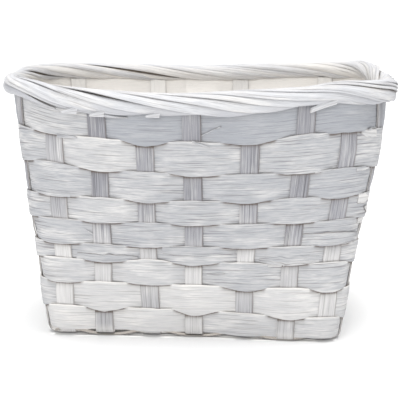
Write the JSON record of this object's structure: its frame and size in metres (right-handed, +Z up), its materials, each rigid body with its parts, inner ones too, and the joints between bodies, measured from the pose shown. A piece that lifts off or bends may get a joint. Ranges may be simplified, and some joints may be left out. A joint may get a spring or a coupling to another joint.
{
  "type": "flower girl basket",
  "caption": "Oblong flared basket woven from flat whitewashed wood chips, open at the top, with a twisted strand border and a woven base.",
  "frame": {"origin": "centre of the base, on the surface that the basket stands on", "axes": "+X along the basket's length, +Y from its front to its back, +Z up"},
  "size_m": [0.2334, 0.1804, 0.1477],
  "materials": {
    "stake_chip": "whitewashed, matt, cool grey where the wash is thin",
    "band_chip": "whitewashed, matt, with fine lengthwise grain",
    "base_chip": "thinly whitewashed, matt, warmer than the walls",
    "border_strand": "heavily whitewashed, matt, with warm brown crevices",
    "hoop_cane": "thinly whitewashed, matt"
  },
  "bodies": {
    "root": {"front_back_stake_1": "stake_chip", "front_back_stake_2": "stake_chip", "front_back_stake_3": "stake_chip", "front_back_stake_4": "stake_chip", "front_back_stake_5": "stake_chip", "front_back_stake_6": "stake_chip", "front_back_stake_7": "stake_chip", "side_stake_1": "stake_chip", "side_stake_2": "stake_chip", "side_stake_3": "stake_chip", "side_stake_4": "stake_chip", "side_stake_5": "stake_chip", "base_filler_1": "base_chip", "base_filler_2": "base_chip", "base_filler_3": "base_chip", "base_filler_4": "base_chip", "wall_band_1": "band_chip", "wall_band_2": "band_chip", "wall_band_3": "band_chip", "wall_band_4": "band_chip", "wall_band_5": "band_chip", "wall_band_6": "band_chip", "wall_band_7": "band_chip", "wall_band_8": "band_chip", "wall_band_9": "band_chip", "rim_hoop": "hoop_cane", "rim_strand_01": "border_strand", "rim_strand_02": "border_strand", "rim_strand_03": "border_strand", "rim_strand_04": "border_strand", "rim_strand_05": "border_strand", "rim_strand_06": "border_strand", "rim_strand_07": "border_strand", "rim_strand_08": "border_strand", "rim_strand_09": "border_strand", "rim_strand_10": "border_strand", "rim_strand_11": "border_strand", "rim_strand_12": "border_strand", "rim_strand_13": "border_strand", "rim_strand_14": "border_strand", "rim_strand_15": "border_strand", "rim_strand_16": "border_strand", "rim_strand_17": "border_strand", "rim_strand_18": "border_strand", "rim_strand_19": "border_strand", "rim_strand_20": "border_strand", "rim_strand_21": "border_strand", "rim_strand_22": "border_strand", "rim_strand_23": "border_strand", "rim_strand_24": "border_strand"}
  },
  "joints": []
}
